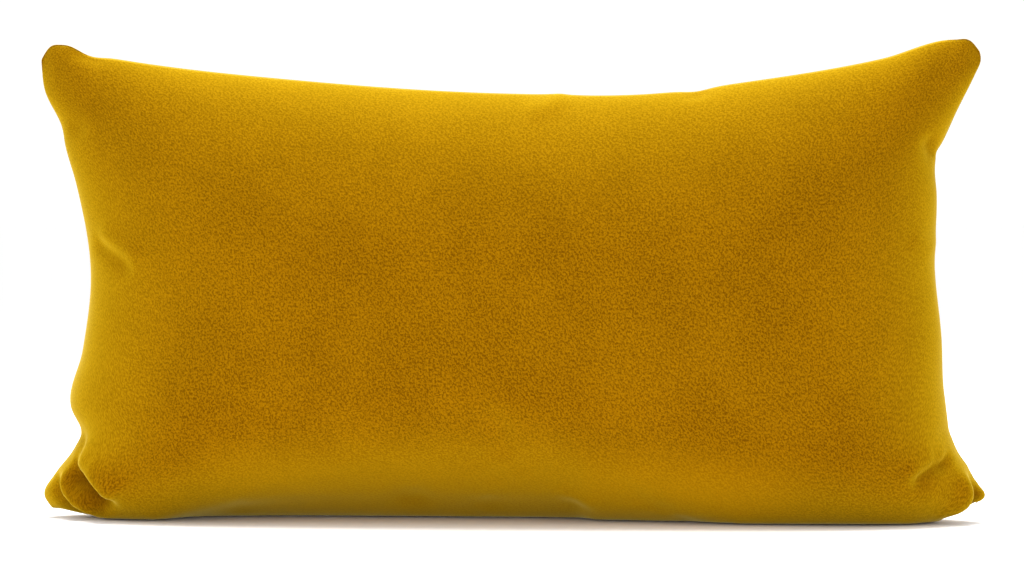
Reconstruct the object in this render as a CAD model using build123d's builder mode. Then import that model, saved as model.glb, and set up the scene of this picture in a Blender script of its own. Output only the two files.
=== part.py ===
from build123d import *
import os
from math import cos, pi, sqrt

# A lumbar throw pillow that stands on its long edge. The cover is two velvet panels that meet in
# a knife-edge seam all round. A concealed zip lies in the bottom seam, which has rolled towards
# the back, and inside is a filled cotton insert.
# Millimetres. +Z is up, +X is to the right as the front is seen, and the front faces -Y. The
# origin is on the surface that the pillow stands on, below its middle.

# the flat cover is 559 x 305, and filling pulls its sides in between the corners
tip_half_width = 278.5
waist_half_width = 250.5
tip_height = 284.0
middle_height = 253.0
half_depth = 70.0

# powers of the curves that the outline and the crown follow from the middle to the seams
side_power = 1.8
top_power = 1.9
crown_power_across = 4.0
crown_power_across_low = 2.2
crown_edge_across = 0.6
crown_power_above = 2.0
crown_edge_above = 0.75
crown_power_below = 4.0
crown_edge_below = 0.5
low_share = 0.8
straight_share = 0.68

# a skin is a smooth surface through this many points along and round the pillow
skin_columns = 25
skin_rows = 23
skin_tolerance = 0.02

# the bottom is pressed flat, and its seam lies up the back by this angle of the section
sink = 6.0
floor_sag = 1.6
floor_softness = 3.0
seam_turn = 0.5
seam_turn_inside = 0.496
ear_start = 0.86
ear_rise = 13.0

# cloth, and the room between the pieces
velvet = 2.2
seam_gap = 1.5
ticking = 0.8
casing_gap = 0.8
casing_inset = 14.0
casing_slack = 0.5
fill_inset = 16.0
fill_slack = 0.4

# seam stitches
cover_thread_radius = 0.25
casing_thread_radius = 0.2
stitch_length = 5.0
stitch_pitch = 10.0
closing_half_length = 75.0
closing_stitch = 4.0
closing_pitch = 7.5
stitch_clearance = 2.0
stitched_share = 0.8
bottom_steps = 20
around_steps = 120

# labels
label_width = 30.0
label_thickness = 0.25
care_label_length = 9.0
insert_label_length = 10.0
label_height = 139.0
label_corner = 0.8
care_label_clearance = 0.3
insert_label_clearance = 1.0

# zip, with depths measured down from the seam line and sides from the middle of the slit
zip_half_length = 178.0
zip_half_opening = 0.9
tape_overrun = 9.0
tape_half_width = 6.8
tape_thickness = 0.5
tape_top = 4.3
tape_fold_width = 3.2
tape_fold_depth = 6.2
coil_start = 0.65
coil_end = 3.1
coil_top = 6.3
coil_bottom = 7.9
tape_stitch_side = 5.0
tape_stitch_depth = 3.7
tape_thread_radius = 0.2
tape_stitch_length = 5.0
tape_stitch_pitch = 11.0
stop_length = 2.5
stop_clearance = 0.4
stop_corner = 0.5

# slider and pull
slider_length = 9.0
slider_start_gap = 1.0
slider_corner = 0.3
slider_wall_side = 3.4
slider_half_width = 4.3
slider_plate_top = 8.1
slider_plate = 1.0
slider_lip_top = 5.0
slider_lip_bottom = 5.5
slider_lip_side = 1.6
post_half_width = 0.4
post_length = 4.0
bridge_low = 0.5
bridge_high = 1.3
bridge_half_width = 2.3
bail_half_width = 0.9
bail_half_length = 2.4
bail_wire = 0.8
bail_height = 3.8
pull_axis_height = 2.25
pull_pin_radius = 0.45
pull_arm_inside = 1.2
pull_arm_outside = 2.2
pull_arm_radius = 0.65
pull_arm_length = 4.0
pull_shoulder = 3.0
pull_length = 8.5
pull_tip_radius = 2.2
pull_hole_radius = 0.9
pull_thickness = 1.1

os.makedirs("parts", exist_ok=True)


def smooth_step(share):
    """0 to 1 without a corner at either end"""
    share = min(max(share, 0.0), 1.0)
    return share * share * (3 - 2 * share)


def crown(across, up):
    """How full the pillow is at a place, from 0 at the seams to 1 in the middle"""
    wide = max(1 - abs(across) ** crown_power_across, 0.0) ** crown_edge_across
    share = max(abs(across) - straight_share, 0.0) / (1 - straight_share)
    wide_low = max(1 - share**crown_power_across_low, 0.0) ** crown_edge_across
    lowness = smooth_step(-up / low_share)
    ends = wide + (wide_low - wide) * lowness
    if up > 0:
        return ends * max(1 - up**crown_power_above, 0.0) ** crown_edge_above
    return ends * max(1 - abs(up) ** crown_power_below, 0.0) ** crown_edge_below


def pillow_point(across, angle, edge_inset=0.0, depth_inset=0.0, shift=0.0):
    """A point of the skin. across runs from -1 to 1. angle goes round a section of the pillow,
    from 0 at the top over the front to pi at the bottom, and on up the back to 2 pi."""
    up = cos(angle)
    half_width = waist_half_width + (tip_half_width - waist_half_width) * abs(up) ** side_power
    low = edge_inset - sink
    high = middle_height - edge_inset
    rise = (tip_height - middle_height) * abs(across) ** top_power * smooth_step((up + 1) / 2)
    ear = (sink + ear_rise) * smooth_step((abs(across) - ear_start) / (1 - ear_start))
    z = low + (up + 1) / 2 * (high - low) + rise + ear * smooth_step((1 - up) / 2)
    over = z - edge_inset + floor_sag
    z = edge_inset - floor_sag + (over + sqrt(over * over + floor_softness**2)) / 2
    side = -1 if angle < pi else 1
    y = side * (half_depth - depth_inset) * crown(across, up) + shift
    return (across * (half_width - edge_inset), y, z)


def seam_angle(across, turn):
    """Where the bottom seam lies on the section: at the bottom in the corners, turned between"""
    return pi + turn * smooth_step((1 - abs(across)) / (1 - ear_start))


def spread(count):
    """Values from -1 to 1, closest together at the ends, where the skin turns fastest"""
    return [-cos(pi * i / (count - 1)) for i in range(count)]


def skin(side, edge_inset=0.0, depth_inset=0.0, gap=seam_gap, turn=0.0):
    """One face of the skin, from the top seam to the bottom seam; side is -1 for the front"""
    top = 0 if side < 0 else 2 * pi
    rows = []
    for share in spread(skin_rows):
        row = []
        for across in spread(skin_columns):
            angle = top + (seam_angle(across, turn) - top) * (share + 1) / 2
            row.append(pillow_point(across, angle, edge_inset, depth_inset, side * gap / 2))
        rows.append(row)
    return Face.make_surface_from_array_of_points(rows, tol=skin_tolerance, min_deg=3, max_deg=3)


def between(one, other):
    """The closed solid between two faces with the same four sides"""
    rims = []
    for edge in one.edges():
        facing = other.edges().sort_by_distance(edge.center())[0]
        rims.append(Face.make_surface_from_curves(edge, facing))
    return Solid(Shell([one, other, *rims]))


def walk(points, length, pitch):
    """Start and direction of each stitch along a line of points"""
    travelled = 0.0
    wanted = pitch / 2
    stitches = []
    for here, there in zip(points, points[1:]):
        step = (there - here).length
        while wanted < travelled + step:
            way = (there - here).normalized()
            middle = here + way * (wanted - travelled)
            stitches.append(Plane(origin=middle - way * (length / 2), z_dir=way))
            wanted += pitch
        travelled += step
    return stitches


def seam_stitches(edge_inset, depth_inset, half_opening, turn=0.0):
    """Stitches along the bottom seam beside its opening, and round the other three sides"""
    start = half_opening / tip_half_width
    run = stitched_share - start
    bottom = [start + run * i / bottom_steps for i in range(bottom_steps + 1)]
    left = [(-across, seam_angle(across, turn)) for across in bottom]
    right = [(across, seam_angle(across, turn)) for across in bottom]
    steps = around_steps
    around = [(-1, pi * (1 - i / steps)) for i in range(2, steps + 1)]
    around += [(2 * i / steps - 1, 0) for i in range(1, steps + 1)]
    around += [(1, pi * i / steps) for i in range(1, steps - 1)]
    stitches = []
    for run in (left, around, right):
        points = [Vector(*pillow_point(*place, edge_inset, depth_inset)) for place in run]
        stitches += walk(points, stitch_length, stitch_pitch)
    return stitches


# velvet cover, cut flat on the floor where the pillow stands
with BuildPart() as cover_front_panel:
    outside = skin(-1, turn=seam_turn)
    inside = skin(-1, velvet, velvet, turn=seam_turn_inside)
    add(between(outside, inside))
    split(bisect_by=Plane.XY, keep=Keep.TOP)

with BuildPart() as cover_back_panel:
    outside = skin(1, turn=seam_turn)
    inside = skin(1, velvet, velvet, turn=seam_turn_inside)
    add(between(outside, inside))

with BuildPart() as cover_seam_thread:
    turn = (seam_turn + seam_turn_inside) / 2
    opening = zip_half_length + tape_overrun + stitch_clearance
    with BuildSketch(*seam_stitches(velvet / 2, velvet / 2, opening, turn)):
        Circle(cover_thread_radius)
    extrude(amount=stitch_length)

# cotton insert, clear of the zip
cloth_depth = velvet + casing_slack
with BuildPart() as insert_casing_front:
    outside = skin(-1, casing_inset, cloth_depth, casing_gap)
    inside = skin(-1, casing_inset + ticking, cloth_depth + ticking, casing_gap)
    add(between(outside, inside))

with BuildPart() as insert_casing_back:
    outside = skin(1, casing_inset, cloth_depth, casing_gap)
    inside = skin(1, casing_inset + ticking, cloth_depth + ticking, casing_gap)
    add(between(outside, inside))

casing_seam_inset = casing_inset + ticking / 2
casing_seam_depth = cloth_depth + ticking / 2
with BuildPart() as insert_seam_thread:
    opening = closing_half_length + closing_stitch
    with BuildSketch(*seam_stitches(casing_seam_inset, casing_seam_depth, opening)):
        Circle(casing_thread_radius)
    extrude(amount=stitch_length)

with BuildPart() as insert_closing_stitches:
    end = closing_half_length / tip_half_width
    ends = [
        Vector(*pillow_point(across, pi, casing_seam_inset, casing_seam_depth))
        for across in (-end, end)
    ]
    with BuildSketch(*walk(ends, closing_stitch, closing_pitch)):
        Circle(casing_thread_radius)
    extrude(amount=closing_stitch)

fill_depth = cloth_depth + ticking + fill_slack
with BuildPart() as insert_fill:
    front = skin(-1, fill_inset, fill_depth, casing_gap)
    back = skin(1, fill_inset, fill_depth, casing_gap)
    add(between(front, back))


def side_seam_x(edge_inset):
    """Distance of the side seam from the middle, at the labels' height"""
    return pillow_point(1, pi / 2, edge_inset)[0]


# labels, each with one end caught in its seam
with BuildPart() as care_label:
    hem = side_seam_x(velvet) - care_label_clearance
    with BuildSketch(Plane.XZ.offset(-label_thickness / 2)):
        with Locations((-hem + care_label_length / 2, label_height)):
            Rectangle(care_label_length, label_width)
    extrude(amount=label_thickness)
    fillet(care_label.edges().filter_by(Axis.Y), radius=label_corner)

with BuildPart() as insert_label:
    hem = side_seam_x(casing_inset) + insert_label_clearance
    with BuildSketch(Plane.XZ.offset(-label_thickness / 2)):
        with Locations((hem + insert_label_length / 2, label_height)):
            Rectangle(insert_label_length, label_width)
    extrude(amount=label_thickness)
    fillet(insert_label.edges().filter_by(Axis.Y), radius=label_corner)

# The zip's own directions: out through the slit, and across it to the front panel.
slit = Vector(*pillow_point(0, pi + seam_turn))
along_skin = (Vector(*pillow_point(0, pi + seam_turn + 0.02)) - slit).normalized()
to_front = -along_skin
outwards = Vector(0, -to_front.Z, to_front.Y)


def zip_section(x):
    """Section across the zip: local X to the front panel, local Y outwards"""
    return Plane(origin=slit + Vector(x, 0, 0), x_dir=to_front, z_dir=(1, 0, 0))


def zip_level(height):
    """Plane along the zip: local X along it, local Y to the front panel"""
    return Plane(origin=slit + outwards * height, x_dir=(1, 0, 0), z_dir=outwards)


def make_tape(side):
    """A tape that folds back under itself at the slit"""
    fold = [
        (zip_half_opening, -tape_top),
        (tape_half_width, -tape_top),
        (tape_half_width, -tape_top - tape_thickness),
        (zip_half_opening + tape_thickness, -tape_top - tape_thickness),
        (zip_half_opening + tape_thickness, -tape_fold_depth + tape_thickness),
        (tape_fold_width, -tape_fold_depth + tape_thickness),
        (tape_fold_width, -tape_fold_depth),
        (zip_half_opening, -tape_fold_depth),
    ]
    with BuildPart() as tape:
        with BuildSketch(zip_section(-zip_half_length - tape_overrun)):
            with BuildLine():
                Polyline([(side * across, out) for across, out in fold], close=True)
            make_face()
        extrude(amount=2 * (zip_half_length + tape_overrun))
    return tape


def make_coil(side):
    """The coil's turns together, as one strip under the fold of the tape"""
    with BuildPart() as coil:
        with BuildSketch(zip_level(-coil_bottom)):
            with Locations((0, side * (coil_start + coil_end) / 2)):
                SlotOverall(2 * zip_half_length, coil_end - coil_start)
        extrude(amount=coil_bottom - coil_top)
    return coil


zip_tape_front = make_tape(1)
zip_tape_back = make_tape(-1)
zip_coil_front = make_coil(1)
zip_coil_back = make_coil(-1)

with BuildPart() as zip_stitching:
    rows = []
    for side in (1, -1):
        middle = slit + to_front * (side * tape_stitch_side) - outwards * tape_stitch_depth
        run = Vector(zip_half_length, 0, 0)
        rows += walk([middle - run, middle + run], tape_stitch_length, tape_stitch_pitch)
    with BuildSketch(*rows):
        Circle(tape_thread_radius)
    extrude(amount=tape_stitch_length)

stop_middle = zip_half_length + stop_clearance + stop_length / 2
stop_height = coil_bottom - coil_top
with BuildPart() as zip_bottom_stop:
    with BuildSketch(zip_level(-coil_bottom)):
        with Locations((stop_middle, 0)):
            RectangleRounded(stop_length, 2 * coil_end, stop_corner)
    extrude(amount=stop_height)

with BuildPart() as zip_top_stops:
    with BuildSketch(zip_level(-coil_bottom)):
        with Locations((-stop_middle, 0)):
            with GridLocations(0, coil_start + coil_end, 1, 2):
                RectangleRounded(stop_length, coil_end - coil_start, stop_corner)
    extrude(amount=stop_height)

# The slider is parked at the closed end, beside the top stops.
slider_x = -zip_half_length + slider_length / 2 + slider_start_gap
slider_start = slider_x - slider_length / 2
channel = [
    (-slider_half_width, -slider_lip_top),
    (-slider_lip_side, -slider_lip_top),
    (-slider_lip_side, -slider_lip_bottom),
    (-slider_wall_side, -slider_lip_bottom),
    (-slider_wall_side, -slider_plate_top),
    (slider_wall_side, -slider_plate_top),
    (slider_wall_side, -slider_lip_bottom),
    (slider_lip_side, -slider_lip_bottom),
    (slider_lip_side, -slider_lip_top),
    (slider_half_width, -slider_lip_top),
    (slider_half_width, -slider_plate_top - slider_plate),
    (-slider_half_width, -slider_plate_top - slider_plate),
]
with BuildPart() as zip_slider:
    with BuildSketch(zip_section(slider_start)):
        with BuildLine():
            Polyline(channel, close=True)
        make_face()
    extrude(amount=slider_length)
    corners = zip_slider.edges().filter_by(Axis((0, 0, 0), outwards))
    corners = corners.group_by(Axis.X)
    fillet(corners[0] + corners[-1], radius=slider_corner)
    with BuildSketch(zip_level(-slider_plate_top)):
        with Locations((slider_x, 0)):
            SlotOverall(post_length, 2 * post_half_width)
    extrude(amount=slider_plate_top + bridge_low)
    with BuildSketch(zip_level(bridge_low)):
        with Locations((slider_x, 0)):
            SlotOverall(slider_length, 2 * bridge_half_width)
    extrude(amount=bridge_high - bridge_low)
    bail_top = bail_height - bail_wire
    bail_side = Plane(origin=slit - to_front * bail_half_width, x_dir=(1, 0, 0), z_dir=to_front)
    with BuildSketch(bail_side):
        with Locations((slider_x, -(bridge_high + bail_height) / 2)):
            Rectangle(2 * bail_half_length, bail_height - bridge_high)
        with Locations((slider_x, -(bridge_high + bail_top) / 2)):
            opening = 2 * (bail_half_length - bail_wire)
            Rectangle(opening, bail_top - bridge_high, mode=Mode.SUBTRACT)
    extrude(amount=2 * bail_half_width)

# The pull hangs from a pin through the bail, straight out of the slit.
pull_plane = Plane(
    origin=slit + Vector(slider_x, 0, 0) + outwards * pull_axis_height,
    x_dir=outwards,
    z_dir=to_front,
)
with BuildPart() as zip_pull:
    with BuildSketch(pull_plane.offset(-pull_arm_outside)):
        Circle(pull_pin_radius)
    extrude(amount=2 * pull_arm_outside)
    for side in (-pull_arm_outside, pull_arm_inside):
        with BuildSketch(pull_plane.offset(side)):
            Circle(pull_arm_radius)
            with Locations((pull_arm_length / 2, 0)):
                Rectangle(pull_arm_length, pull_thickness)
        extrude(amount=pull_arm_outside - pull_arm_inside)
    tab_plane = Plane(pull_plane.origin, x_dir=outwards, z_dir=(1, 0, 0))
    with BuildSketch(tab_plane.offset(-pull_thickness / 2)):
        with BuildLine():
            tip = pull_length - pull_tip_radius
            Polyline(
                (tip, -pull_tip_radius),
                (pull_shoulder, -pull_arm_outside),
                (pull_shoulder, pull_arm_outside),
                (tip, pull_tip_radius),
            )
            RadiusArc((tip, pull_tip_radius), (tip, -pull_tip_radius), pull_tip_radius)
        make_face()
        with Locations((tip, 0)):
            Circle(pull_hole_radius, mode=Mode.SUBTRACT)
    extrude(amount=pull_thickness)

pieces = {
    "cover_front_panel": cover_front_panel,
    "cover_back_panel": cover_back_panel,
    "cover_seam_thread": cover_seam_thread,
    "care_label": care_label,
    "zip_tape_front": zip_tape_front,
    "zip_tape_back": zip_tape_back,
    "zip_coil_front": zip_coil_front,
    "zip_coil_back": zip_coil_back,
    "zip_stitching": zip_stitching,
    "zip_bottom_stop": zip_bottom_stop,
    "zip_top_stops": zip_top_stops,
    "zip_slider": zip_slider,
    "zip_pull": zip_pull,
    "insert_casing_front": insert_casing_front,
    "insert_casing_back": insert_casing_back,
    "insert_seam_thread": insert_seam_thread,
    "insert_closing_stitches": insert_closing_stitches,
    "insert_fill": insert_fill,
    "insert_label": insert_label,
}
for name, piece in pieces.items():
    piece.part.label = name
    export_step(piece.part, f"parts/{name}.step")
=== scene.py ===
from math import cos, pi, radians, sin

import bpy
import numpy as np
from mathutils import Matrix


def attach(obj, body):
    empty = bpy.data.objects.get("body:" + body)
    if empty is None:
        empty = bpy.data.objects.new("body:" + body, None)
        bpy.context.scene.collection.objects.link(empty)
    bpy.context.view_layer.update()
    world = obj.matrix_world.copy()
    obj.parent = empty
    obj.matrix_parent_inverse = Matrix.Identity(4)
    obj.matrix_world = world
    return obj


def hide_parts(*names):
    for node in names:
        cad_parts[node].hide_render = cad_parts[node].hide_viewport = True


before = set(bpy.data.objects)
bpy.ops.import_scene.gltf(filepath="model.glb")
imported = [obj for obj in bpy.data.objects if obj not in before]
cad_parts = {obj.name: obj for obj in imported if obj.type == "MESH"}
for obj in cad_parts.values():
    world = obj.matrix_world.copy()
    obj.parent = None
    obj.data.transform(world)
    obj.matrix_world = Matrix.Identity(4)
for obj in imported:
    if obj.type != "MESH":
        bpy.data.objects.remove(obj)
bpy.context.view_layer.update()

# ---------------------------------------------------------------------------------------------
# Camera, floor and studio light. The camera looks almost level along the pillow's front, from a
# little to its right and far enough away that its edges stay straight. The set is pale.
# ---------------------------------------------------------------------------------------------
view_distance = 2.1
view_width = 0.6085
view_height = 0.1775
view_turn = radians(4.5)
look_at = (0.0013, 0.0, 0.1405)


def select_only(*objects):
    """Deselect everything, then select these and make the first one active"""
    if bpy.context.object and bpy.context.object.mode != "OBJECT":
        bpy.ops.object.mode_set(mode="OBJECT")
    bpy.ops.object.select_all(action="DESELECT")
    for thing in objects:
        thing.select_set(True)
    bpy.context.view_layer.objects.active = objects[0]


def aim(thing, place, target):
    """Stand a camera or lamp at a place and turn it to a target"""
    thing.location = place
    way = np.array(target) - np.array(place)
    level = float(np.hypot(way[0], way[1]))
    thing.rotation_euler = (pi / 2 + np.arctan2(way[2], level), 0, np.arctan2(-way[0], way[1]))


bpy.ops.object.camera_add()
camera = bpy.context.object
camera.data.sensor_width = 36
camera.data.lens = camera.data.sensor_width * view_distance / view_width
aim(
    camera,
    (view_distance * sin(view_turn), -view_distance * cos(view_turn), view_height),
    look_at,
)
bpy.context.scene.camera = camera

bpy.ops.mesh.primitive_plane_add(size=400, location=(0, 0, -0.0004))
floor = bpy.context.object
floor.name = "floor"
paint = bpy.data.materials.new("pale_floor")
paint.use_nodes = True
paint.node_tree.nodes["Principled BSDF"].inputs["Base Color"].default_value = (0.93, 0.93, 0.93, 1)
paint.node_tree.nodes["Principled BSDF"].inputs["Roughness"].default_value = 0.9
paint.node_tree.nodes["Principled BSDF"].inputs["Specular IOR Level"].default_value = 0.1
floor.data.materials.append(paint)

lamps = {
    "top_light": ((-0.1, 0.3, 1.5), (0, 0, 0.2), 1.2, 52),
    "left_light": ((-1.8, 0.25, 0.5), (-0.2, 0, 0.15), 0.9, 10),
    "right_light": ((1.8, 0.3, 0.5), (0.2, 0, 0.15), 0.9, 7),
    "low_light": ((0.0, -1.0, 0.1), (0, 0, 0.03), 0.16, 3.6),
}
for name, (place, target, size, power) in lamps.items():
    bpy.ops.object.light_add(type="AREA")
    lamp = bpy.context.object
    lamp.name = name
    lamp.data.size = size
    lamp.data.energy = power
    aim(lamp, place, target)

world = bpy.data.worlds.new("studio")
world.use_nodes = True
world.node_tree.nodes["Background"].inputs["Color"].default_value = (1, 1, 1, 1)
world.node_tree.nodes["Background"].inputs["Strength"].default_value = 1.08
bpy.context.scene.world = world
bpy.context.scene.view_settings.view_transform = "Standard"

# ---------------------------------------------------------------------------------------------
# The cover: a front and a back panel of mohair velvet, cut 559 x 305 mm and seamed right sides
# together, then turned. Filling pulls the sides in between the corner tips, and the height that
# the side seams lose when the pillow stands goes into folds at its lower corners.
# ---------------------------------------------------------------------------------------------
cut_width, cut_height = 0.559, 0.305
waist = 0.2505  # half the width at mid height
tips = 0.2785  # half the width at the corner tips
mid_height = 0.253
half_depth = 0.0685  # before the cloth settles
settled_depth = 0.07  # what the zip is laid out for
sink = 0.006  # how far the weight presses the bottom flat
lift = 0.0105  # how far the front's bottom stands off the floor between the corners
ear_start, ear_rise = 0.86, 0.0045  # where the corner ears begin, and how far they turn up
seam_turn = 0.5  # how far round to the back the bottom seam lies, in radians

# outline of the seam as the front is seen, (x, z) in metres: where it turns and a few places on
# its long curves, left to right along the top and upwards at the sides
top_outline = [
    (-0.282, 0.274),  # left tip
    (-0.278, 0.281),
    (-0.270, 0.283),  # its crown
    (-0.253, 0.277),
    (-0.236, 0.274),  # where the long sag starts
    (-0.125, 0.261),
    (0.000, 0.253),  # bottom of the sag
    (0.088, 0.253),
    (0.136, 0.259),  # knee of the rise
    (0.219, 0.273),
    (0.262, 0.284),  # crown of the right tip
    (0.272, 0.283),
    (0.277, 0.277),  # right tip
]
left_outline = [
    (-0.276, 0.005),  # underside of the ear
    (-0.281, 0.012),  # its end
    (-0.274, 0.026),
    (-0.261, 0.042),
    (-0.257, 0.051),  # notch above the ear
    (-0.264, 0.065),  # bulge over the notch
    (-0.257, 0.100),
    (-0.252, 0.144),  # waist
    (-0.261, 0.200),
    (-0.268, 0.225),
    (-0.269, 0.232),  # pinch under the tip
    (-0.280, 0.256),
    (-0.282, 0.274),  # left tip
]
right_outline = [
    (0.270, 0.005),  # underside of the ear
    (0.281, 0.014),  # its end
    (0.275, 0.027),
    (0.265, 0.041),  # root of the ear
    (0.257, 0.074),
    (0.255, 0.110),
    (0.251, 0.150),  # waist
    (0.252, 0.195),
    (0.251, 0.208),  # pinch under the tip
    (0.261, 0.236),
    (0.275, 0.265),
    (0.278, 0.272),
    (0.277, 0.277),  # right tip
]


def smooth_step(share):
    """0 to 1 without a corner at either end"""
    share = np.clip(share, 0.0, 1.0)
    return share * share * (3 - 2 * share)


def through(knots, values, at):
    """A smooth curve through given points, read at any places along it"""
    knots, values = np.asarray(knots, float), np.asarray(values, float)
    slopes = np.gradient(values, knots)
    part = np.clip(np.searchsorted(knots, at) - 1, 0, len(knots) - 2)
    width = knots[part + 1] - knots[part]
    t = np.clip((at - knots[part]) / width, 0, 1)
    a = (1 + 2 * t) * (1 - t) ** 2 * values[part] + t * (1 - t) ** 2 * width * slopes[part]
    b = t * t * (3 - 2 * t) * values[part + 1] + t * t * (t - 1) * width * slopes[part + 1]
    return a + b


def crown(across, up):
    """How full the pillow is at a place, from 0 at the seams to 1 in the middle"""
    wide = np.maximum(1 - np.abs(across) ** 4.0, 0) ** 0.6
    share = np.maximum(np.abs(across) - 0.68, 0) / 0.32
    wide_low = np.maximum(1 - share**2.2, 0) ** 0.6
    ends = wide + (wide_low - wide) * smooth_step(-up / 0.8)
    above = np.maximum(1 - np.maximum(up, 0) ** 2, 0) ** 0.75
    below = np.maximum(1 - np.maximum(-up, 0) ** 4, 0) ** 0.5
    return ends * np.where(up > 0, above, below)


def skin(across, angle, edge_inset=0.0, depth_inset=0.0, outline=True):
    """Points of the pillow's skin. across runs from -1 to 1. angle goes round a section, from 0
    at the top over the front to pi at the bottom, and on up the back to 2 pi."""
    up = np.cos(angle)
    width = waist + (tips - waist) * np.abs(up) ** 1.8
    low = edge_inset - sink
    high = mid_height - edge_inset
    ear = (sink + ear_rise) * smooth_step((np.abs(across) - ear_start) / (1 - ear_start))
    share = (up + 1) / 2
    x = across * (width - edge_inset)
    if outline:
        reach = across * np.where(across < 0, -top_outline[0][0], top_outline[-1][0])
        top = through([p[0] for p in top_outline], [p[1] for p in top_outline], reach)
    else:
        top = mid_height + 0.031 * np.abs(across) ** 1.9
    rise = (top - mid_height) * smooth_step(share)
    z = low + share * (high - low) + rise + ear * smooth_step(1 - share)
    over = z - edge_inset + 0.0016
    z = edge_inset - 0.0016 + (over + np.sqrt(over * over + 0.003**2)) / 2
    if outline:
        left = through([p[1] for p in left_outline], [p[0] for p in left_outline], z)
        right = through([p[1] for p in right_outline], [p[0] for p in right_outline], z)
        near = np.abs(across) ** 8 * np.where(across < 0, left + width, right - width)
        x = x + near
    side = np.where(angle < pi, -1.0, 1.0)
    y = side * (half_depth - depth_inset) * crown(across, up)
    if outline:
        raised = np.maximum(1 - ((across + 0.12) / 0.62) ** 2, 0) * smooth_step((0.022 - y) / 0.05)
        z = z + lift * raised * smooth_step((0.09 - z) / 0.09)
    return np.stack([x, y, z], axis=-1)


# the zip's own directions: across its slit to the front panel, and out through it
as_settled = {"depth_inset": half_depth - settled_depth, "outline": False}
slit = skin(0.0, pi + seam_turn, **as_settled)
beyond_slit = skin(0.0, pi + seam_turn + 0.02, **as_settled)
to_front = (slit - beyond_slit) / np.linalg.norm(slit - beyond_slit)
outwards = np.array([0, -to_front[2], to_front[1]])


def seam_angle(across, turn):
    """Where the bottom seam lies on the section: at the bottom in the corners, turned between"""
    return pi + turn * smooth_step((1 - np.abs(across)) / (1 - ear_start))


def even_shares(points, count):
    """Places, from 0 to 1, that divide a line of points into equal lengths"""
    steps = np.linalg.norm(np.diff(points, axis=0), axis=1)
    length = np.concatenate([[0], np.cumsum(steps)])
    wanted = np.linspace(0, length[-1], count)
    return np.interp(wanted, length, np.linspace(0, 1, len(points)))


def panel_points(side, columns, rows, turn, **insets):
    """Evenly spaced points of one panel, from the top seam to the bottom seam; -1 is the front"""
    dense = np.linspace(-1, 1, 801)
    middle = skin(dense, np.full(801, pi / 2), **insets)
    acrosses = 2 * even_shares(middle, columns) - 1
    top = 0.0 if side < 0 else 2 * pi
    grid = np.zeros((rows, columns, 3))
    for column, across in enumerate(acrosses):
        share = np.linspace(0, 1, 801)
        angles = top + (seam_angle(across, turn) - top) * share
        if side > 0:
            angles = np.maximum(angles, pi + 1e-6)
        line = skin(np.full(801, across), angles, **insets)
        even = even_shares(line, rows)
        grid[:, column] = skin(
            np.full(rows, across), np.interp(even, share, angles), **insets
        )
    return grid


def grid_piece(name, points):
    """A grid mesh over rows and columns of points, with a flat map of the cloth it is cut from"""
    rows, columns = points.shape[:2]
    bpy.ops.object.select_all(action="DESELECT")
    bpy.ops.mesh.primitive_grid_add(
        x_subdivisions=columns - 1, y_subdivisions=rows - 1, size=2, calc_uvs=True
    )
    piece = bpy.context.object
    piece.name = piece.data.name = name
    flat = np.empty(len(piece.data.vertices) * 3)
    piece.data.vertices.foreach_get("co", flat)
    flat = flat.reshape(-1, 3)
    column = np.rint((flat[:, 0] + 1) / 2 * (columns - 1)).astype(int)
    row = np.rint((1 - flat[:, 1]) / 2 * (rows - 1)).astype(int)
    piece.data.vertices.foreach_set("co", points[row, column].ravel())
    piece.data.update()
    return piece


class Socket:
    """A shader socket. Sums on it add Math nodes to its material."""

    def __init__(self, finish, socket):
        self.finish, self.socket = finish, socket

    def math(self, operation, one, other):
        return self.finish.node("ShaderNodeMath", {"operation": operation}, {0: one, 1: other})

    def __add__(self, other):
        return self.math("ADD", self, other)

    def __radd__(self, other):
        return self.math("ADD", other, self)

    def __rsub__(self, other):
        return self.math("SUBTRACT", other, self)

    def __mul__(self, other):
        return self.math("MULTIPLY", self, other)


class Finish:
    """A material with a Principled shader, and a way to add any other node to it"""

    def __init__(self, name, **plain):
        self.material = bpy.data.materials.new(name)
        self.material.use_nodes = True
        self.tree = self.material.node_tree
        self.shader = self.tree.nodes["Principled BSDF"]
        for key, value in plain.items():
            self.shader.inputs[key.replace("_", " ")].default_value = value

    def node(self, kind, settings=None, inputs=None, output=0):
        made = self.tree.nodes.new(kind)
        for key, value in (settings or {}).items():
            setattr(made, key, value)
        for key, value in (inputs or {}).items():
            if isinstance(value, Socket):
                self.tree.links.new(value.socket, made.inputs[key])
            else:
                made.inputs[key].default_value = value
        return Socket(self, made.outputs[output])

    def mix(self, share, one, other):
        """A colour between two others; 6, 7 and 2 are the Mix node's colour sockets"""
        settings = {"data_type": "RGBA", "clamp_factor": True}
        return self.node("ShaderNodeMix", settings, {0: share, 6: one, 7: other}, 2)

    def smooth(self, value, low, high):
        """0 below low, 1 above high, and a soft step between"""
        settings = {"interpolation_type": "SMOOTHSTEP"}
        return self.node("ShaderNodeMapRange", settings, {0: value, 1: low, 2: high})

    def feed(self, name, value):
        self.tree.links.new(value.socket, self.shader.inputs[name])

    def bump(self, height, distance, strength=1.0):
        """Feed the shader's normal from a height between 0 and 1"""
        inputs = {"Height": height, "Distance": distance, "Strength": strength}
        self.feed("Normal", self.node("ShaderNodeBump", None, inputs))


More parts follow.
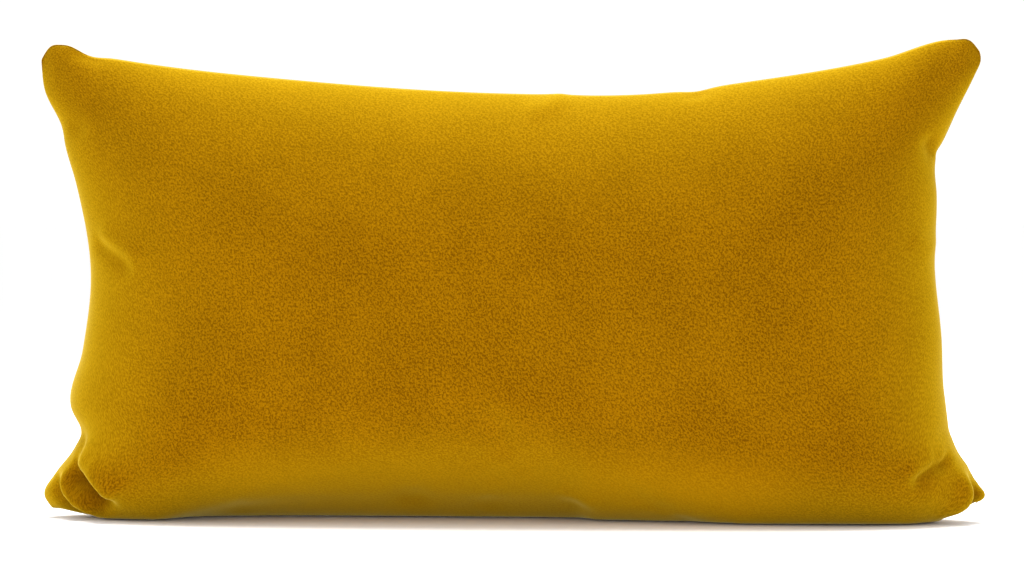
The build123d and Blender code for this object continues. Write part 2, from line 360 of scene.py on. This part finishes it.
def velvet_finish():
    """Mustard mohair: short dense pile, dark when it is looked into and bright along its lay"""
    velvet = Finish("mustard_velvet", Roughness=0.85, Specular_IOR_Level=0.0)
    velvet.shader.inputs["Sheen Weight"].default_value = 1.0
    velvet.shader.inputs["Sheen Roughness"].default_value = 0.3
    velvet.shader.inputs["Sheen Tint"].default_value = (1.0, 0.70, 0.01, 1)
    cloth = velvet.node("ShaderNodeTexCoord", None, None, "UV")
    cloth = velvet.node(
        "ShaderNodeMapping", None, {"Vector": cloth, "Scale": (cut_width, cut_height, 1)}
    )
    tufts = velvet.node(
        "ShaderNodeTexNoise", None, {"Vector": cloth, "Scale": 900, "Detail": 2, "Roughness": 0.6}
    )
    rows = velvet.node(
        "ShaderNodeTexWave",
        {"bands_direction": "DIAGONAL"},
        {"Vector": cloth, "Scale": 200, "Distortion": 9, "Detail": 2, "Detail Scale": 2.5},
    )
    lay = velvet.node(
        "ShaderNodeTexNoise", None, {"Vector": cloth, "Scale": 24, "Detail": 3, "Roughness": 0.55}
    )
    speckle = velvet.smooth(tufts * 0.85 + rows * 0.15, 0.32, 0.68)
    brushed = velvet.smooth(lay, 0.35, 0.65)
    # painted shade: a point attribute that darkens the pile in fold pockets and pinched creases
    painted_fold_shade = velvet.node("ShaderNodeAttribute", {"attribute_name": "painted_fold_shade"}, None, "Fac")
    dark = velvet.mix(brushed, (0.108, 0.041, 0.0003, 1), (0.124, 0.049, 0.0004, 1))
    light = velvet.mix(brushed, (0.228, 0.100, 0.0008, 1), (0.25, 0.111, 0.001, 1))
    pile = velvet.mix(speckle, dark, light)
    # painted light: low down and near the middle the pile is lightened, standing in for light thrown
    # up off the floor
    place = velvet.node("ShaderNodeTexCoord", None, None, "Object")
    height = velvet.node("ShaderNodeSeparateXYZ", None, {0: place}, "Z")
    along = velvet.node("ShaderNodeSeparateXYZ", None, {0: place}, "X")
    painted_bounce_light = velvet.smooth(height, 0.055, 0.005) * velvet.smooth(along * along, 0.04, 0.012)
    pile = velvet.mix(painted_bounce_light * 0.62, pile, (0.36, 0.155, 0.001, 1))
    # painted shade: fold pockets and pinches take a dark brown in place of the pile's colour
    velvet.feed("Base Color", velvet.mix(painted_fold_shade, pile, (0.11, 0.042, 0.0005, 1)))
    velvet.bump(tufts, 0.0006, 0.6)

    nap = velvet.node(
        "ShaderNodeBsdfPrincipled",
        None,
        {
            "Base Color": velvet.mix(speckle, (0.29, 0.170, 0.0015, 1), (0.36, 0.225, 0.004, 1)),
            "Roughness": 0.9,
            "Specular IOR Level": 0.0,
            "Sheen Weight": 0.3,
            "Sheen Roughness": 0.3,
            "Sheen Tint": (1.0, 0.85, 0.3, 1),
        },
    )
    facing = velvet.node("ShaderNodeLayerWeight", None, {"Blend": 0.5}, "Facing")
    slant = velvet.node("ShaderNodeMapRange", None, {0: facing, 1: 0.03, 2: 0.85})
    base = Socket(velvet, velvet.shader.outputs[0])
    # the painted shade also takes the bright nap out of fold pockets and pinches
    shown = velvet.node("ShaderNodeMixShader", None, {0: slant * (1 - painted_fold_shade), 1: base, 2: nap})
    output = velvet.tree.nodes["Material Output"]
    velvet.tree.links.new(shown.socket, output.inputs["Surface"])
    return velvet.material


def read_points(mesh):
    """A mesh's points, as rows of three numbers"""
    flat = np.empty(len(mesh.vertices) * 3)
    mesh.vertices.foreach_get("co", flat)
    return flat.reshape(-1, 3)


def write_points(mesh, points):
    mesh.vertices.foreach_set("co", np.asarray(points, float).ravel())
    mesh.update()


tape_reach, held_half_length = 0.009, 0.2  # what the zip's tapes hold still


def settle_cover(cover, steps, most_move):
    """Let filled cloth settle between its seams, which hold, with some slack at the side seams"""
    mesh = cover.data
    start = read_points(mesh)
    panels = [set() for _ in mesh.vertices]
    for face in mesh.polygons:
        for corner in face.vertices:
            panels[corner].add(face.material_index)
    seam = np.array([len(found) > 1 for found in panels])
    zip_near = np.hypot(start[:, 1] - slit[1], start[:, 2] - slit[2]) < tape_reach
    held = np.flatnonzero(seam | (zip_near & (np.abs(start[:, 0]) < held_half_length)))
    group = cover.vertex_groups.new(name="held")
    group.add([int(i) for i in held], 1.0, "REPLACE")

    across = np.abs(start[:, 0]) / tips
    slack = 1 + 0.10 * across**6
    centre = mid_height / 2
    cut = start.copy()
    cut[:, 2] = centre + (start[:, 2] - centre) * slack
    cut[:, 0] = start[:, 0] * 1.01
    cover.shape_key_add(name="start")
    cover.shape_key_add(name="cut").data.foreach_set("co", cut.ravel())

    cloth = cover.modifiers.new("settle", "CLOTH")
    cloth.settings.quality = 5
    cloth.settings.mass = 0.4
    cloth.settings.air_damping = 4
    cloth.settings.tension_stiffness = 40
    cloth.settings.compression_stiffness = 40
    cloth.settings.shear_stiffness = 20
    cloth.settings.bending_stiffness = 4
    cloth.settings.vertex_group_mass = "held"
    cloth.settings.rest_shape_key = mesh.shape_keys.key_blocks["cut"]
    cloth.settings.use_pressure = True
    cloth.settings.uniform_pressure_force = 5
    cloth.settings.effector_weights.gravity = 0
    cloth.collision_settings.use_collision = False
    cloth.collision_settings.use_self_collision = False
    cloth.point_cache.frame_end = steps
    for step in range(1, steps + 1):
        bpy.context.scene.frame_set(step)
    view = bpy.context.evaluated_depsgraph_get()
    settled = read_points(cover.evaluated_get(view).data)
    cover.modifiers.remove(cloth)
    cover.shape_key_clear()
    bpy.context.scene.frame_set(1)
    move = settled - start
    length = np.linalg.norm(move, axis=1, keepdims=True)
    move = move * np.minimum(1, most_move / np.maximum(length, 1e-9))
    write_points(mesh, start + move)


# folds of the front: line in (x, z), how far it stands out, how far it hangs over, how deep the
# cloth sinks beyond it, and its width. The side a fold hangs over to is on the right of its line.
folds = [
    # left edge
    ([(-0.262, 0.236), (-0.254, 0.228)], -0.0012, 0.0, 0.0, 0.006),
    ([(-0.243, 0.172), (-0.234, 0.167), (-0.216, 0.156)], 0.002, 0.001, 0.0028, 0.006),
    ([(-0.254, 0.052), (-0.251, 0.045), (-0.249, 0.039)], -0.002, 0.0, 0.0, 0.003),
    # lower left corner
    (
        [(-0.254, 0.041), (-0.243, 0.034), (-0.233, 0.024), (-0.225, 0.015)],
        0.007, 0.007, 0.012, 0.008,
    ),
    ([(-0.265, 0.028), (-0.262, 0.018), (-0.253, 0.010), (-0.243, 0.004)], 0.004, 0.003, 0.005, 0.004),
    ([(-0.268, 0.0165), (-0.261, 0.010), (-0.252, 0.0055)], 0.002, 0.001, 0.003, 0.003),
    # right edge
    ([(0.246, 0.226), (0.251, 0.214)], -0.0035, 0.0, 0.0, 0.004),
    ([(0.236, 0.167), (0.251, 0.160)], 0.0015, 0.0, 0.0, 0.006),
    ([(0.260, 0.057), (0.251, 0.051)], -0.001, 0.0, 0.0, 0.003),
    # lower right corner
    ([(0.233, 0.031), (0.247, 0.041), (0.258, 0.0445)], 0.0035, 0.004, 0.007, 0.0042),
    ([(0.252, 0.006), (0.264, 0.010), (0.269, 0.016), (0.266, 0.031)], 0.003, 0.002, 0.003, 0.004),
    ([(0.266, 0.0055), (0.272, 0.015), (0.2725, 0.024)], 0.0015, 0.001, 0.004, 0.003),
    # top and bottom edges
    ([(0.012, 0.240), (0.036, 0.2505)], 0.0014, 0.0, 0.0, 0.006),
    ([(0.109, 0.262), (0.112, 0.249)], -0.0015, 0.0, 0.0, 0.009),
    ([(-0.266, 0.2785), (-0.255, 0.2765), (-0.243, 0.273)], -0.0014, 0.0, 0.0, 0.003),
    ([(0.030, 0.0115), (0.050, 0.009)], 0.0012, 0.0004, 0.0006, 0.004),
    ([(-0.067, 0.008), (-0.045, 0.007)], -0.0015, 0.0, 0.0, 0.006),
]


fold_limit = 0.004  # folds stay on the front, up to just past the seams
end_fade = 4  # how quickly a fold dies away towards its ends
pocket_place = 1.25  # from the fold's line to its pocket, in widths
lean_back = 2.2  # how far back the cloth leans along with a fold, in widths
# painted shade: how dark a fold's pocket and pinch are painted, per metre of depth
sunk_shade, pinched_shade = 90, 150  # how dark a fold's pocket is per metre of its depth


def lay_folds(mesh, lines):
    """Push each fold's line out of the cloth, let it hang over and sink the cloth beyond it, and keep
    painted shade for its pocket and pinch as a point attribute
    """
    points = read_points(mesh)
    normals = np.empty(len(points) * 3)
    mesh.vertices.foreach_get("normal", normals)
    normals = normals.reshape(-1, 3)
    flat = points[:, (0, 2)].copy()
    painted_fold_shade = np.zeros(len(points))
    for line, out, over, sunk, width in lines:
        line = np.array(line, float)
        nearest = np.full(len(points), 1e9)
        signed = np.zeros(len(points))
        along = np.zeros(len(points))
        right = np.zeros((len(points), 2))
        run = 0.0
        total = float(np.linalg.norm(np.diff(line, axis=0), axis=1).sum())
        for start, end in zip(line, line[1:]):
            way = end - start
            length = float(np.linalg.norm(way))
            way = way / length
            offset = flat - start
            t = np.clip(offset @ way, 0, length)
            gap = offset - t[:, None] * way
            distance = np.linalg.norm(gap, axis=1)
            side = np.array([way[1], -way[0]])
            closer = distance < nearest
            nearest[closer] = distance[closer]
            signed[closer] = (np.sign(gap @ side) * distance)[closer]
            along[closer] = ((run + t) / total)[closer]
            right[closer] = side
            run += length
        fade = smooth_step(np.minimum(along, 1 - along) * end_fade + 0.25)
        fade = fade * (points[:, 1] < fold_limit)
        ridge = fade * np.exp(-((nearest / width) ** 2))
        beyond = (along > 0.02) & (along < 0.98)
        hollow = sunk * fade * beyond
        hollow = hollow * np.exp(-(((signed - pocket_place * width) / width) ** 2))
        spread = width * np.where(signed < 0, lean_back, 1)
        carried = fade * np.exp(-((nearest / spread) ** 2))
        # painted shade in the pocket beyond the fold and along a pinched crease
        painted_fold_shade += hollow * sunk_shade + ridge * max(-out, 0) * pinched_shade
        points += normals * (out * ridge - hollow)[:, None]
        points[:, 0] += right[:, 0] * over * carried
        points[:, 2] += right[:, 1] * over * carried
    write_points(mesh, points)
    shade = mesh.attributes.new("painted_fold_shade", "FLOAT", "POINT")
    shade.data.foreach_set("value", np.minimum(painted_fold_shade, 1).astype(np.float32))


columns, rows = 141, 77
weld_distance = 0.0002
front = grid_piece("cover_front", panel_points(-1, columns, rows, seam_turn))
back = grid_piece("cover_back", panel_points(1, columns, rows, seam_turn))
for piece in (front, back):
    piece.data.materials.append(bpy.data.materials.new("front_side"))
    piece.data.materials.append(bpy.data.materials.new("back_side"))
back.data.polygons.foreach_set("material_index", [1] * len(back.data.polygons))

select_only(front, back)
bpy.ops.object.join()
cover = bpy.context.object
bpy.ops.object.mode_set(mode="EDIT")
bpy.ops.mesh.select_all(action="SELECT")
bpy.ops.mesh.remove_doubles(threshold=weld_distance)
bpy.ops.mesh.normals_make_consistent(inside=False)
bpy.ops.object.mode_set(mode="OBJECT")
normals = np.empty(len(cover.data.vertices) * 3)
cover.data.vertices.foreach_get("normal", normals)
if (normals[1::3] * read_points(cover.data)[:, 1]).sum() < 0:
    cover.data.flip_normals()
settle_cover(cover, steps=24, most_move=0.012)
lay_folds(cover.data, folds)

# the front's bottom edge stands off the floor left of the middle, and steps down at a small notch
edge_rise, lowest = 0.0080, 0.0003
points = read_points(cover.data)
raised = np.maximum(1 - ((points[:, 0] + 0.05) / 0.16) ** 4, 0)
raised = raised * (1 - 0.8 * smooth_step((points[:, 0] - 0.038) / 0.014))
raised = raised * smooth_step((0.03 - points[:, 1]) / 0.05)
raised = raised * smooth_step((0.06 - points[:, 2]) / 0.06)
points[:, 2] = np.maximum(points[:, 2] + edge_rise * raised, lowest)
write_points(cover.data, points)

# apart again along the seam, with the panels' edges drawn a little way from the zip's slit
velvet = velvet_finish()
velvet_wall = 0.0006
parting, parting_width, parting_end = 0.0007, 0.003, 0.188
select_only(cover)
bpy.ops.object.mode_set(mode="EDIT")
bpy.ops.mesh.separate(type="MATERIAL")
bpy.ops.object.mode_set(mode="OBJECT")
for half in list(bpy.context.selected_objects):
    is_front = read_points(half.data)[:, 1].mean() < 0
    half.name = half.data.name = "velvet_front" if is_front else "velvet_back"
    half.data.materials.clear()
    half.data.materials.append(velvet)
    half.vertex_groups.clear()
    points = read_points(half.data)
    beside = np.hypot(points[:, 1] - slit[1], points[:, 2] - slit[2])
    parted = np.exp(-((beside / parting_width) ** 2))
    parted = parted * smooth_step((parting_end - np.abs(points[:, 0])) / 0.012)
    parted = (parted if is_front else -parted) * parting
    points[:, 1] += parted * to_front[1]
    points[:, 2] += parted * to_front[2]
    write_points(half.data, points)
    select_only(half)
    bpy.ops.object.shade_smooth()
    refine = half.modifiers.new("refine", "SUBSURF")
    refine.levels = refine.render_levels = 1
    bpy.ops.object.modifier_apply(modifier=refine.name)
    wall = half.modifiers.new("wall", "SOLIDIFY")
    wall.thickness = velvet_wall
    bpy.ops.object.modifier_apply(modifier=wall.name)
    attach(half, "root")
    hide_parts("cover_front_panel" if is_front else "cover_back_panel")

# ---------------------------------------------------------------------------------------------
# The cover's seam thread: a lockstitch in matching thread just inside the knife edge. It runs
# round everything but the zip's opening. Each stitch that shows in the seam is a short bead.
# ---------------------------------------------------------------------------------------------
def thread_finish(name, dark, light):
    """Twisted sewing thread"""
    thread = Finish(name, Roughness=0.6, Sheen_Weight=0.3)
    place = thread.node("ShaderNodeTexCoord", None, None, "Object")
    fibres = thread.node("ShaderNodeTexNoise", None, {"Vector": place, "Scale": 2600, "Detail": 2})
    thread.feed("Base Color", thread.mix(thread.smooth(fibres, 0.35, 0.65), dark, light))
    thread.bump(fibres, 0.0001, 0.5)
    return thread.material


def stitch_row(name, line, radius, length, pitch):
    """Stitches one behind another along a line of points"""
    bpy.ops.object.select_all(action="DESELECT")
    bpy.ops.curve.primitive_nurbs_path_add()
    path = bpy.context.object
    path.data.splines.clear()
    spline = path.data.splines.new("POLY")
    spline.points.add(len(line) - 1)
    for point, place in zip(spline.points, line):
        point.co = (*place, 1)
    bpy.ops.object.select_all(action="DESELECT")
    bpy.ops.mesh.primitive_uv_sphere_add(segments=6, ring_count=5, radius=1)
    row = bpy.context.object
    row.name = row.data.name = name
    bpy.ops.object.mode_set(mode="EDIT")
    bpy.ops.mesh.select_all(action="SELECT")
    bpy.ops.transform.rotate(value=pi / 2, orient_axis="Y", center_override=(0, 0, 0))
    bpy.ops.transform.resize(value=(length / 2, radius, radius), center_override=(0, 0, 0))
    bpy.ops.object.mode_set(mode="OBJECT")
    repeat = row.modifiers.new("repeat", "ARRAY")
    repeat.fit_type = "FIT_CURVE"
    repeat.curve = path
    repeat.use_relative_offset = False
    repeat.use_constant_offset = True
    repeat.constant_offset_displace = (pitch, 0, 0)
    follow = row.modifiers.new("follow", "CURVE")
    follow.object = path
    bpy.ops.object.modifier_apply(modifier=repeat.name)
    bpy.ops.object.modifier_apply(modifier=follow.name)
    bpy.ops.object.shade_smooth()
    select_only(path)
    bpy.ops.object.delete()
    return row


def joined(name, parts):
    """One piece made of several"""
    select_only(*parts)
    if len(parts) > 1:
        bpy.ops.object.join()
    whole = bpy.context.object
    whole.name = whole.data.name = name
    return whole


def seam_line(start, end, turn, **insets):
    """Points in the seam: along the bottom, up the side seams and along the top"""
    low = np.linspace(start, end, 60)
    up = np.linspace(pi, 0, 90)[2:]
    top = np.linspace(-1, 1, 160)[1:]
    left, right = np.full(len(up), -1.0), np.full(len(up), 1.0)
    lines = [
        skin(-low, seam_angle(low, turn), **insets),
        np.concatenate([
            skin(left, up, **insets),
            skin(top, np.zeros(len(top)), **insets),
            skin(right, up[::-1], **insets),
        ]),
        skin(low, seam_angle(low, turn), **insets),
    ]
    for line in lines:
        line[:, 2] = np.maximum(line[:, 2], 2 * lowest)
    return lines


bead_length, bead_pitch = 0.0026, 0.003
seam_inset = {"edge_inset": 0.003, "depth_inset": 0.003}
cover_thread = thread_finish("mustard_thread", (0.22, 0.09, 0.004, 1), (0.42, 0.2, 0.015, 1))
seam_rows = [
    stitch_row(f"seam_row_{i}", line, 0.0003, bead_length, bead_pitch)
    for i, line in enumerate(seam_line(0.68, 0.97, seam_turn, **seam_inset))
]
seam_thread = joined("cover_seam_stitches", seam_rows)
seam_thread.data.materials.clear()
seam_thread.data.materials.append(cover_thread)
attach(seam_thread, "root")
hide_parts("cover_seam_thread")

# ---------------------------------------------------------------------------------------------
# Two satin labels, each a short length of woven ribbon with one end caught in a seam. The care
# label is inside the cover's left side seam, and the other is on the insert's right side seam.
# ---------------------------------------------------------------------------------------------
def satin_finish(name, colour, dimmer):
    """Woven ribbon: fine ribs across, with a soft shine"""
    satin = Finish(name, Roughness=0.4, Sheen_Weight=0.2)
    place = satin.node("ShaderNodeTexCoord", None, None, "Object")
    ribs = satin.node(
        "ShaderNodeTexWave",
        {"bands_direction": "Z"},
        {"Vector": place, "Scale": 900, "Distortion": 0.4},
    )
    satin.feed("Base Color", satin.mix(ribs, dimmer, colour))
    satin.bump(ribs, 0.00005, 0.4)
    return satin.material


def label_piece(name, start, finish):
    """A ribbon from a seam towards +X, with a lazy wave in it"""
    across, up = np.meshgrid(np.linspace(0, 1, 15), np.linspace(1, 0, 25))
    points = np.zeros((*across.shape, 3))
    points[..., 0] = start + across * label_reach
    points[..., 1] = 0.0012 * np.sin(across * 5.5) * (0.8 + 0.3 * np.sin(up * 4)) * across
    points[..., 2] = label_bottom + up * label_flat[1]
    label = grid_piece(name, points)
    wall = label.modifiers.new("wall", "SOLIDIFY")
    wall.thickness = label_wall
    wall.offset = 0
    bpy.ops.object.modifier_apply(modifier=wall.name)
    bpy.ops.object.shade_smooth()
    label.data.materials.clear()
    label.data.materials.append(finish)
    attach(label, "root")
    return label


label_flat = (0.0102, 0.03)
label_reach = 0.0098  # its width as it hangs, shortened by the wave
label_wall = 0.00022
label_bottom = 0.124

care_finish = satin_finish("satin_ribbon", (0.86, 0.84, 0.78, 1), (0.72, 0.7, 0.64, 1))
care_label = label_piece("care_ribbon", -0.2475, care_finish)
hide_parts("care_label")

paper_finish = satin_finish("insert_ribbon", (0.9, 0.9, 0.88, 1), (0.8, 0.8, 0.78, 1))
insert_label = label_piece("insert_ribbon", 0.2385, paper_finish)
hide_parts("insert_label")

# ---------------------------------------------------------------------------------------------
# The insert: two panels of bleached cotton ticking, seamed round with a short run closed from
# outside, and stuffed with loose polyester fibre. It stands clear of the zip.
# ---------------------------------------------------------------------------------------------
def ticking_finish():
    """Bleached cotton in a plain weave"""
    cotton = Finish("bleached_ticking", Roughness=0.85, Specular_IOR_Level=0.2, Sheen_Weight=0.2)
    cloth = cotton.node("ShaderNodeTexCoord", None, None, "UV")
    cloth = cotton.node(
        "ShaderNodeMapping", None, {"Vector": cloth, "Scale": (insert_width, insert_height, 1)}
    )
    yarns = {"Vector": cloth, "Scale": 400}
    warp = cotton.node("ShaderNodeTexWave", {"bands_direction": "X"}, yarns)
    weft = cotton.node("ShaderNodeTexWave", {"bands_direction": "Y"}, yarns)
    slubs = cotton.node("ShaderNodeTexNoise", None, {"Vector": cloth, "Scale": 120, "Detail": 3})
    tone = cotton.mix(slubs, (0.76, 0.74, 0.69, 1), (0.88, 0.87, 0.84, 1))
    cotton.feed("Base Color", tone)
    cotton.bump(warp * weft + slubs * 0.5, 0.00012, 0.6)
    return cotton.material


def puckered(points, edge, depth):
    """Small pleats that the filling leaves beside a seam, fading inwards"""
    rows, columns = points.shape[:2]
    row, column = np.meshgrid(np.linspace(-1, 1, rows), np.linspace(-1, 1, columns), indexing="ij")
    beside = np.maximum(np.abs(row), np.abs(column)) ** edge
    wave = np.sin(column * 61) * np.cos(row * 3 + 1) + np.sin(row * 37 + column * 5)
    moved = points.copy()
    inwards = np.sign(points[..., 1].mean())
    moved[..., 1] -= inwards * depth * beside * (1 - beside) * (1 + wave / 2) * 2
    return moved


insert_width, insert_height = 0.535, 0.285
ticking_wall = 0.0004
ticking_inset = {"edge_inset": 0.0145, "depth_inset": 0.0042}
ticking = ticking_finish()
for side, name, node in (
    (-1, "insert_cloth_front", "insert_casing_front"),
    (1, "insert_cloth_back", "insert_casing_back"),
):
    points = panel_points(side, 101, 57, 0.0, **ticking_inset)
    points[..., 1] += side * ticking_wall / 2
    cloth = grid_piece(name, puckered(points, 14, 0.0024))
    bpy.ops.object.mode_set(mode="EDIT")
    bpy.ops.mesh.select_all(action="SELECT")
    bpy.ops.mesh.normals_make_consistent(inside=False)
    bpy.ops.object.mode_set(mode="OBJECT")
    wall = cloth.modifiers.new("wall", "SOLIDIFY")
    wall.thickness = ticking_wall
    bpy.ops.object.modifier_apply(modifier=wall.name)
    bpy.ops.object.shade_smooth()
    cloth.data.materials.clear()
    cloth.data.materials.append(ticking)
    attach(cloth, "root")
    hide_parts(node)

casing_thread = thread_finish("white_thread", (0.7, 0.7, 0.68, 1), (0.9, 0.9, 0.88, 1))
casing_seam_inset = {"edge_inset": 0.0148, "depth_inset": 0.0044}
casing_rows = [
    stitch_row(f"casing_row_{i}", line, 0.00022, bead_length, bead_pitch)
    for i, line in enumerate(seam_line(0.29, 0.96, 0.0, **casing_seam_inset))
]
casing_stitches = joined("insert_seam_stitches", casing_rows)
closing = np.linspace(-0.27, 0.27, 60)
closing_line = skin(closing, np.full(len(closing), pi), **casing_seam_inset)
closing_stitches = stitch_row("insert_closing_row", closing_line, 0.00025, 0.0034, 0.006)
for stitches, node in (
    (casing_stitches, "insert_seam_thread"),
    (closing_stitches, "insert_closing_stitches"),
):
    stitches.data.materials.clear()
    stitches.data.materials.append(casing_thread)
    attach(stitches, "root")
    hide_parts(node)

# ---------------------------------------------------------------------------------------------
# The filling: loose siliconised polyester fibre, packed by hand, so it lies in soft clumps.
# ---------------------------------------------------------------------------------------------
def fibre_finish():
    """White fibre in clumps"""
    fibre = Finish("polyester_fibre", Roughness=0.9, Specular_IOR_Level=0.2, Sheen_Weight=0.4)
    place = fibre.node("ShaderNodeTexCoord", None, None, "Object")
    strands = fibre.node(
        "ShaderNodeTexNoise", None, {"Vector": place, "Scale": 260, "Detail": 5, "Distortion": 1.5}
    )
    fibre.feed("Base Color", fibre.mix(strands, (0.72, 0.73, 0.74, 1), (0.93, 0.93, 0.93, 1)))
    fibre.bump(strands, 0.0012, 0.7)
    return fibre.material


clump_depth = 0.0006
fill_inset = {"edge_inset": 0.0175, "depth_inset": 0.0075}
fill_halves = [
    grid_piece("fill_half", panel_points(side, 91, 51, 0.0, **fill_inset)) for side in (-1, 1)
]
fibre_mass = joined("fibre_mass", fill_halves)
bpy.ops.object.mode_set(mode="EDIT")
bpy.ops.mesh.select_all(action="SELECT")
bpy.ops.mesh.remove_doubles(threshold=weld_distance)
bpy.ops.mesh.normals_make_consistent(inside=False)
bpy.ops.object.mode_set(mode="OBJECT")
bpy.ops.object.shade_smooth()
points = read_points(fibre_mass.data)
normals = np.empty(len(points) * 3)
fibre_mass.data.vertices.foreach_get("normal", normals)
clumps = np.sin(points[:, 0] * 190) * np.sin(points[:, 2] * 210 + 1)
clumps = clumps + np.sin(points[:, 0] * 97 + 2)
inwards = normals.reshape(-1, 3) * clump_depth * (clumps + 2)[:, None]
write_points(fibre_mass.data, points - inwards)
fibre_mass.data.materials.clear()
fibre_mass.data.materials.append(fibre_finish())
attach(fibre_mass, "root")
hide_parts("insert_fill")

# ---------------------------------------------------------------------------------------------
# The concealed zip: two nylon coils sewn under the folds of woven tape, a slider on them with
# its body inside and its bridge and pull outside, and metal stops at the coils' ends.
# ---------------------------------------------------------------------------------------------
zip_half_length = 0.178
turn_pitch = 0.0016
turn_size = (0.00125, 0.00092, 0.0006)  # scale of one coil turn: along the zip, across, deep
coil_side = 0.001875  # from the middle of the slit to the middle of a coil
coil_depth = 0.0071


def nylon_finish(name, dark, light, roughness):
    """Dyed nylon or polyester: a slight mottle and a soft gloss"""
    nylon = Finish(name, Roughness=roughness)
    place = nylon.node("ShaderNodeTexCoord", None, None, "Object")
    mottle = nylon.node("ShaderNodeTexNoise", None, {"Vector": place, "Scale": 900, "Detail": 3})
    nylon.feed("Base Color", nylon.mix(mottle, dark, light))
    nylon.bump(mottle, 0.0001, 0.3)
    return nylon.material


coil_finish = nylon_finish("coil_nylon", (0.34, 0.16, 0.008, 1), (0.5, 0.26, 0.02, 1), 0.35)
turn_frame = np.array([[1, 0, 0], to_front, outwards]).T
for side, name, node in (
    (1, "coil_turns_front", "zip_coil_front"),
    (-1, "coil_turns_back", "zip_coil_back"),
):
    bpy.ops.object.select_all(action="DESELECT")
    bpy.ops.mesh.primitive_torus_add(
        major_segments=8, minor_segments=4, major_radius=1, minor_radius=0.32,
        rotation=(0, pi / 2, 0),
    )
    turns = bpy.context.object
    turns.name = turns.data.name = name
    bpy.ops.object.transform_apply(location=True, rotation=True, scale=True)
    bpy.ops.object.mode_set(mode="EDIT")
    bpy.ops.mesh.select_all(action="SELECT")
    bpy.ops.transform.resize(value=turn_size, center_override=(0, 0, 0))
    bpy.ops.object.mode_set(mode="OBJECT")
    repeat = turns.modifiers.new("repeat", "ARRAY")
    repeat.count = round(2 * (zip_half_length - 0.001) / turn_pitch)
    repeat.use_relative_offset = False
    repeat.use_constant_offset = True
    repeat.constant_offset_displace = (turn_pitch, 0, 0)
    bpy.ops.object.modifier_apply(modifier=repeat.name)
    centre = slit + to_front * side * coil_side - outwards * coil_depth
    points = read_points(turns.data)
    points[:, 0] += -zip_half_length + 0.0009 + (turn_pitch / 4 if side < 0 else 0)
    write_points(turns.data, points @ turn_frame.T + centre)
    bpy.ops.object.shade_smooth()
    turns.data.materials.clear()
    turns.data.materials.append(coil_finish)
    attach(turns, "root")
    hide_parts(node)


def tape_finish():
    """Woven polyester tape in a fine herringbone"""
    tape = Finish("woven_tape", Roughness=0.75, Sheen_Weight=0.3)
    place = tape.node("ShaderNodeTexCoord", None, None, "Object")
    twill = tape.node(
        "ShaderNodeTexWave", {"bands_direction": "DIAGONAL"}, {"Vector": place, "Scale": 700}
    )
    tape.feed("Base Color", tape.mix(twill, (0.3, 0.13, 0.006, 1), (0.42, 0.2, 0.012, 1)))
    tape.bump(twill, 0.0001, 0.5)
    return tape.material


def metal_finish():
    """Die-cast zinc, plated and tumbled"""
    metal = Finish("plated_zinc", Metallic=1.0)
    place = metal.node("ShaderNodeTexCoord", None, None, "Object")
    wear = metal.node("ShaderNodeTexNoise", None, {"Vector": place, "Scale": 700, "Detail": 4})
    metal.feed("Base Color", metal.mix(wear, (0.42, 0.30, 0.14, 1), (0.62, 0.47, 0.25, 1)))
    metal.feed("Roughness", 0.24 + wear * 0.2)
    metal.bump(wear, 0.00005, 0.3)
    return metal.material


tape_cloth, plated = tape_finish(), metal_finish()
zip_thread = thread_finish("zip_sewing_thread", (0.3, 0.13, 0.006, 1), (0.5, 0.25, 0.03, 1))
kept = {
    "zip_tape_front": tape_cloth,
    "zip_tape_back": tape_cloth,
    "zip_stitching": zip_thread,
    "zip_bottom_stop": plated,
    "zip_top_stops": plated,
    "zip_slider": plated,
    "zip_pull": plated,
}
for name, finish in kept.items():
    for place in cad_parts[name].material_slots:
        place.material = finish
